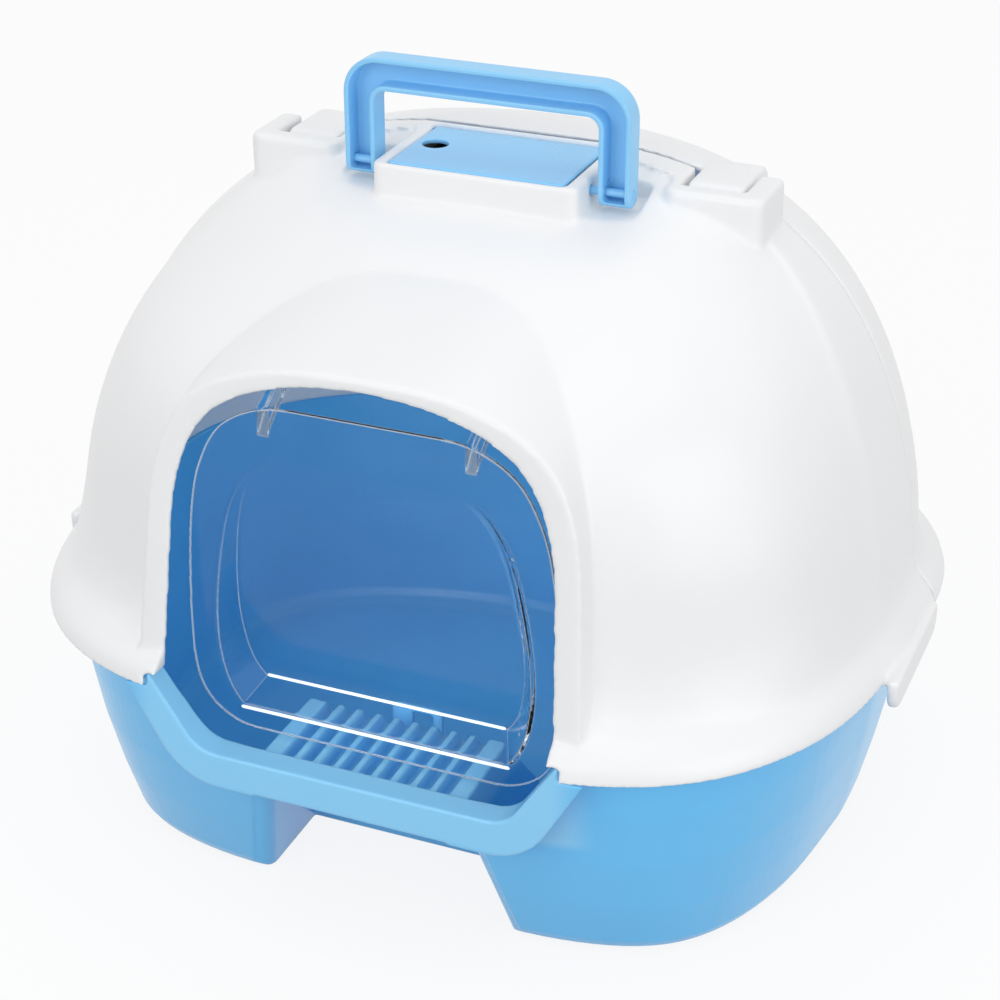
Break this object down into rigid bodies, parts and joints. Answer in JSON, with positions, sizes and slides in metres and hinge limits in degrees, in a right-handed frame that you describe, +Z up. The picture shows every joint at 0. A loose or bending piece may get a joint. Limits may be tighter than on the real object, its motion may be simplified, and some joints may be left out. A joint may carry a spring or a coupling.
{
  "type": "covered litter box",
  "caption": "Covered litter box: blue tray with a dipped front lip, hinged white hoods, clear swing flap, folding carry handle and a lidded filter box.",
  "frame": {"origin": "middle of the footprint, on the floor", "axes": "+X to the right seen from the front, +Y to the rear, +Z up; the doorway faces -Y"},
  "size_m": [0.4544, 0.3768, 0.3888],
  "materials": {
    "white_plastic": "satin",
    "blue_plastic": "satin",
    "light_blue_plastic": "satin",
    "clear_plastic": "clear gloss",
    "pin_plastic": "matt",
    "carbon_pad": "matt"
  },
  "bodies": {
    "tray_body": {"tray": "blue_plastic"},
    "rear_body": {"rear_hood": "white_plastic"},
    "front_body": {"front_hood": "white_plastic", "hinge_pin_left": "pin_plastic", "hinge_pin_right": "pin_plastic", "handle_pin_left": "pin_plastic", "handle_pin_right": "pin_plastic", "flap_pin_left": "pin_plastic", "flap_pin_right": "pin_plastic", "filter_lid_pin": "pin_plastic", "carbon_filter": "carbon_pad"},
    "flap_body": {"door_flap": "clear_plastic"},
    "handle_body": {"carry_handle": "light_blue_plastic"},
    "lid_body": {"filter_lid": "light_blue_plastic"}
  },
  "joints": [
    {"name": "hood_lift", "type": "slide", "parent": "tray_body", "child": "rear_body", "axis": [0, 0, 1], "range_m": [0, 0.25]},
    {"name": "front_hood_flip", "type": "hinge", "parent": "rear_body", "child": "front_body", "pos_m": [0, 0.015, 0.3302], "axis": [-1, 0, 0], "range_deg": [0, 75]},
    {"name": "flap_swing", "type": "hinge", "parent": "front_body", "child": "flap_body", "pos_m": [0, -0.136, 0.272], "axis": [1, 0, 0], "range_deg": [-3, 70]},
    {"name": "handle_fold", "type": "hinge", "parent": "front_body", "child": "handle_body", "pos_m": [0, -0.0128, 0.336], "axis": [1, 0, 0], "range_deg": [0, 90]},
    {"name": "filter_lid_open", "type": "hinge", "parent": "front_body", "child": "lid_body", "pos_m": [0, 0.0252, 0.3399], "axis": [-1, 0, 0], "range_deg": [0, 18]}
  ]
}
